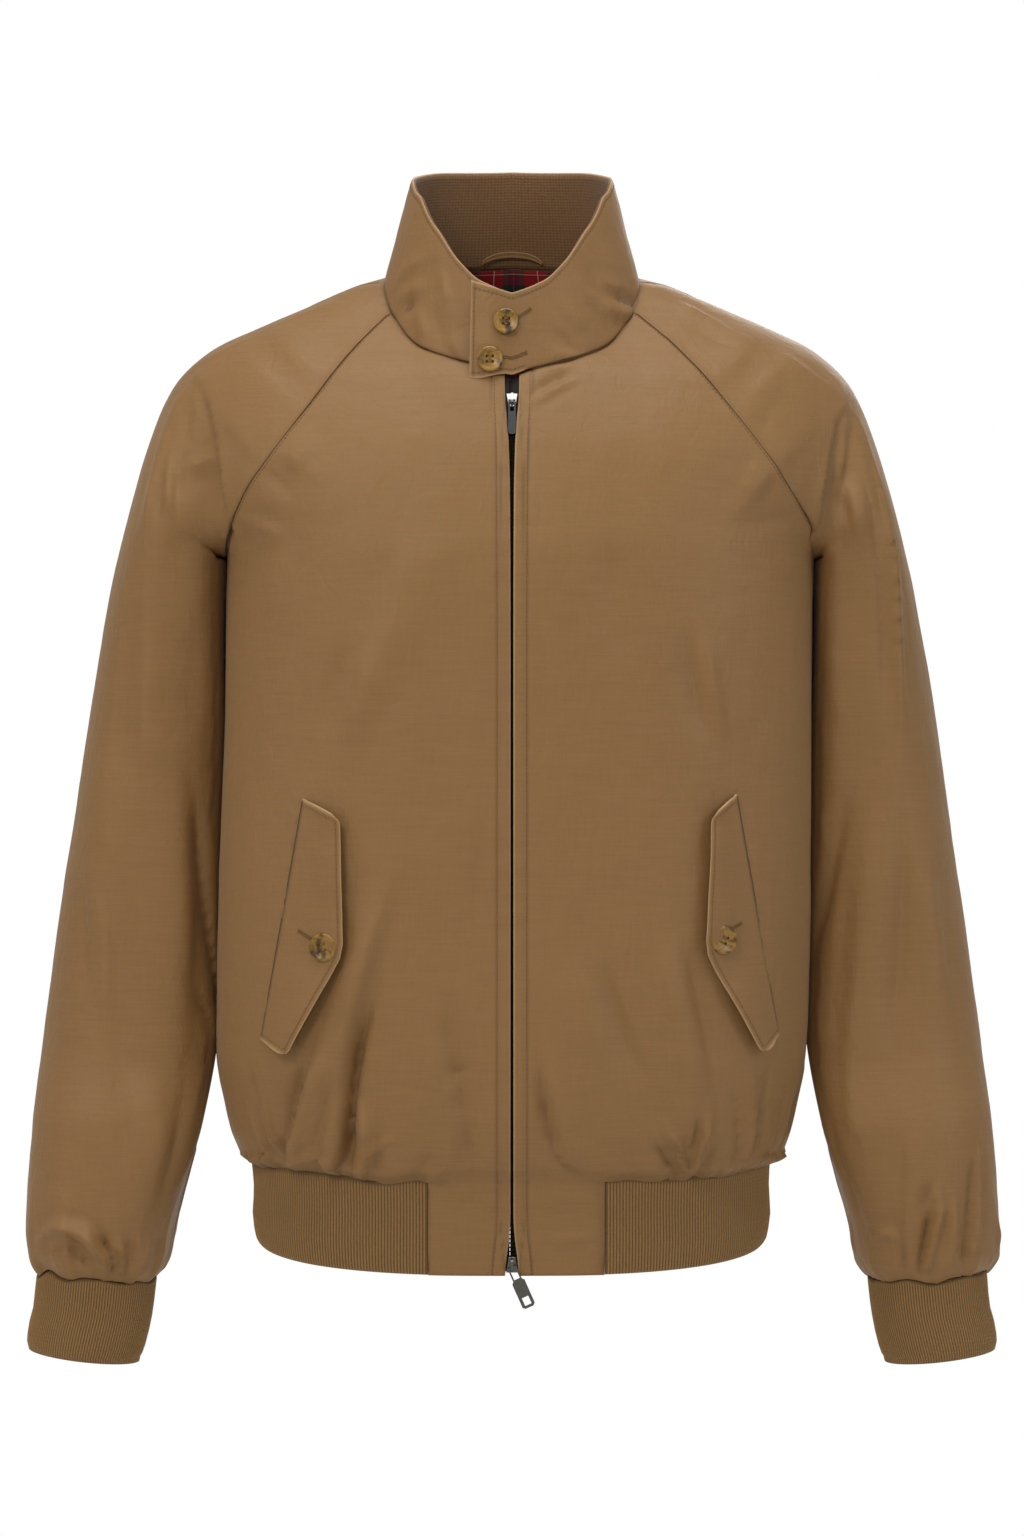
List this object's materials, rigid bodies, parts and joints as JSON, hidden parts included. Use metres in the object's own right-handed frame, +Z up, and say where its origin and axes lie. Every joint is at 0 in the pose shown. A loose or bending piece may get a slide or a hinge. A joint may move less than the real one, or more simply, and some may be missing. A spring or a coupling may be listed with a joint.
{
  "type": "harrington jacket",
  "caption": "Waist-length harrington jacket, filled out with no wearer: buttoned stand collar, raglan sleeves, zip front, slanted buttoned flap pockets, rib-knit cuffs and hem.",
  "frame": {"origin": "middle of the neck at the level of the high point of the shoulders, where the wearer's shoulders carry the jacket", "axes": "+Z up, -Y towards the jacket's front, +X towards the wearer's left"},
  "size_m": [0.6784, 0.2818, 0.8342],
  "materials": {
    "tan_cotton": "close-woven cotton-polyester poplin, faint sheen",
    "tan_rib_knit": "rib knit, matte",
    "tan_fine_knit": "fine knit facing, matte",
    "check_lining": "woven check lining, matte",
    "horn_plastic": "mottled horn-effect, polished",
    "zip_tape": "woven tape, matte",
    "zip_teeth": "dark moulded coil",
    "zip_steel": "bright plated",
    "zip_gunmetal": "dark grey enamel"
  },
  "bodies": {
    "jacket": {"front_panel_left": "tan_cotton", "front_panel_right": "tan_cotton", "back_panel": "tan_cotton", "sleeve_left_front": "tan_cotton", "sleeve_left_back": "tan_cotton", "sleeve_right_front": "tan_cotton", "sleeve_right_back": "tan_cotton", "cuff_left": "tan_rib_knit", "cuff_right": "tan_rib_knit", "hem_rib": "tan_rib_knit", "collar_outer": "tan_cotton", "collar_inner": "tan_fine_knit", "hanger_loop": "tan_cotton", "back_lining": "check_lining", "pocket_flap_left": "tan_cotton", "pocket_flap_right": "tan_cotton", "collar_button_upper": "horn_plastic", "collar_button_lower": "horn_plastic", "pocket_button_left": "horn_plastic", "pocket_button_right": "horn_plastic", "zip_tape_left": "zip_tape", "zip_tape_right": "zip_tape", "zip_chain": "zip_teeth", "slider_upper": "zip_steel", "slider_lower": "zip_steel"},
    "pull_upper": {"pull_upper": "zip_gunmetal"},
    "pull_lower": {"pull_lower": "zip_steel"}
  },
  "joints": [
    {"name": "pull_upper_swing", "type": "hinge", "parent": "jacket", "child": "pull_upper", "pos_m": [0, -0.10412, -0.08564], "axis": [-1, 0, 0], "range_deg": [0, 150]},
    {"name": "pull_lower_swing", "type": "hinge", "parent": "jacket", "child": "pull_lower", "pos_m": [0, -0.12546, -0.67069], "axis": [-0.9135, 0, -0.4067], "range_deg": [0, 90]}
  ]
}
